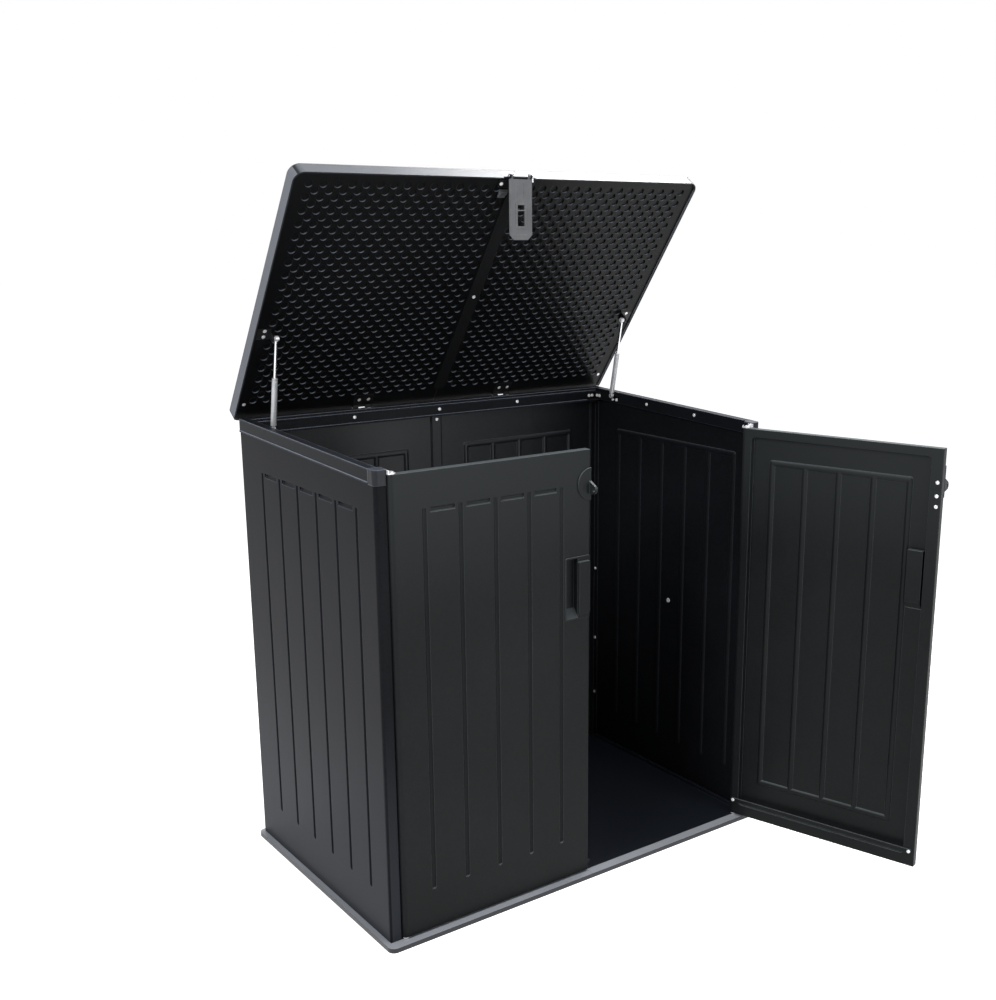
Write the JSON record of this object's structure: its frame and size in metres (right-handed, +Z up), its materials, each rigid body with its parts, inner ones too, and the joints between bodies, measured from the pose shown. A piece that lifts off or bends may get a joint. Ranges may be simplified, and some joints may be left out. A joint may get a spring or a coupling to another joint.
{
  "type": "garden storage box",
  "caption": "Upright resin garden storage box with a hinged lid on gas struts, a pair of front doors, grooved panels and a padlock hasp; lid and one door open.",
  "frame": {"origin": "centre of the floor's underside, where the seam between the floor panels crosses the middle", "axes": "+Z up, +X to the right seen from the front, -Y towards the front where the doors are; rest pose has the lid fully open, the left door shut and the right door open 107 degrees"},
  "size_m": [1.5017, 1.4176, 2.0084],
  "materials": {
    "resin": "satin moulded",
    "resin_dark": "satin moulded, darker",
    "zinc": "zinc plated",
    "chrome": "polished",
    "strut_silver": "satin silver paint",
    "bracket_black": "satin black paint",
    "hasp_grey": "satin grey paint"
  },
  "bodies": {
    "cabinet": {"floor_left": "resin_dark", "floor_right": "resin_dark", "door_stop": "resin_dark", "left_wall": "resin", "right_wall": "resin", "rear_wall_left": "resin", "rear_wall_right": "resin", "rear_joint_strip": "resin", "rear_top_beam": "resin", "left_top_rail": "resin", "right_top_rail": "resin", "left_corner_cap": "resin", "right_corner_cap": "resin", "left_rear_gusset": "bracket_black", "right_rear_gusset": "bracket_black", "left_corner_strip": "resin", "right_corner_strip": "resin", "left_top_pivot": "zinc", "right_top_pivot": "zinc", "left_strut_mount": "bracket_black", "right_strut_mount": "bracket_black", "fixed_hinge_leaves": "bracket_black", "lid_hinge_pins": "chrome", "cabinet_screws": "zinc"},
    "lid": {"lid_left_shell": "resin", "lid_right_shell": "resin", "lid_left_liner": "resin_dark", "lid_right_liner": "resin_dark", "lid_centre_strip": "resin_dark", "moving_hinge_leaves": "bracket_black", "left_lid_stud": "bracket_black", "right_lid_stud": "bracket_black", "hasp_bracket": "bracket_black", "hasp_clip": "hasp_grey", "lid_screws": "zinc"},
    "hasp": {"hasp_rod": "chrome", "hasp_plate": "hasp_grey"},
    "left_door": {"left_door_panel": "resin", "left_door_pull": "resin_dark", "left_door_pins": "zinc", "left_door_stiffener": "resin_dark", "left_door_screws": "zinc", "left_lock_plate": "resin_dark"},
    "left_strut_rod_end": {"left_strut_rod": "chrome", "left_strut_top_eye": "strut_silver"},
    "left_strut_tube_end": {"left_strut_tube": "strut_silver", "left_strut_foot_eye": "strut_silver"},
    "right_door": {"right_door_panel": "resin", "right_door_pull": "resin_dark", "right_door_pins": "zinc", "right_door_stiffener": "resin_dark", "right_door_screws": "zinc", "right_lock_plate": "resin_dark"},
    "right_strut_rod_end": {"right_strut_rod": "chrome", "right_strut_top_eye": "strut_silver"},
    "right_strut_tube_end": {"right_strut_tube": "strut_silver", "right_strut_foot_eye": "strut_silver"}
  },
  "joints": [
    {"name": "lid_hinge", "type": "hinge", "parent": "cabinet", "child": "lid", "pos_m": [0, 0.408, 1.322], "axis": [1, 0, 0], "range_deg": [0, 56.3]},
    {"name": "left_door_hinge", "type": "hinge", "parent": "cabinet", "child": "left_door", "pos_m": [-0.608, -0.398, 0.6], "axis": [0, 0, -1], "range_deg": [0, 107]},
    {"name": "right_door_hinge", "type": "hinge", "parent": "cabinet", "child": "right_door", "pos_m": [0.608, -0.398, 0.6], "axis": [0, 0, -1], "range_deg": [0, 107]},
    {"name": "hasp_hinge", "type": "hinge", "parent": "lid", "child": "hasp", "pos_m": [0, -0.08774, 1.99273], "axis": [1, 0, 0], "range_deg": [-141.3, 0]},
    {"name": "left_strut_pivot", "type": "hinge", "parent": "lid", "child": "left_strut_rod_end", "pos_m": [-0.615, 0.20816, 1.55759], "axis": [1, 0, 0], "range_deg": [0, 27.21]},
    {"name": "left_strut_slide", "type": "slide", "parent": "left_strut_rod_end", "child": "left_strut_tube_end", "axis": [0, -0.1973, 0.9803], "range_m": [0, 0.10332]},
    {"name": "right_strut_pivot", "type": "hinge", "parent": "lid", "child": "right_strut_rod_end", "pos_m": [0.615, 0.20816, 1.55759], "axis": [1, 0, 0], "range_deg": [0, 27.21]},
    {"name": "right_strut_slide", "type": "slide", "parent": "right_strut_rod_end", "child": "right_strut_tube_end", "axis": [0, -0.1973, 0.9803], "range_m": [0, 0.10332]}
  ],
  "couplings": [
    {"joint": "hasp_hinge", "follows": "lid_hinge", "ratio": -1},
    {"joint": "left_strut_pivot", "follows": "lid_hinge", "ratio": 0.48297},
    {"joint": "left_strut_slide", "follows": "lid_hinge", "m_per_rad": 0.10513},
    {"joint": "right_strut_pivot", "follows": "lid_hinge", "ratio": 0.48297},
    {"joint": "right_strut_slide", "follows": "lid_hinge", "m_per_rad": 0.10513}
  ]
}
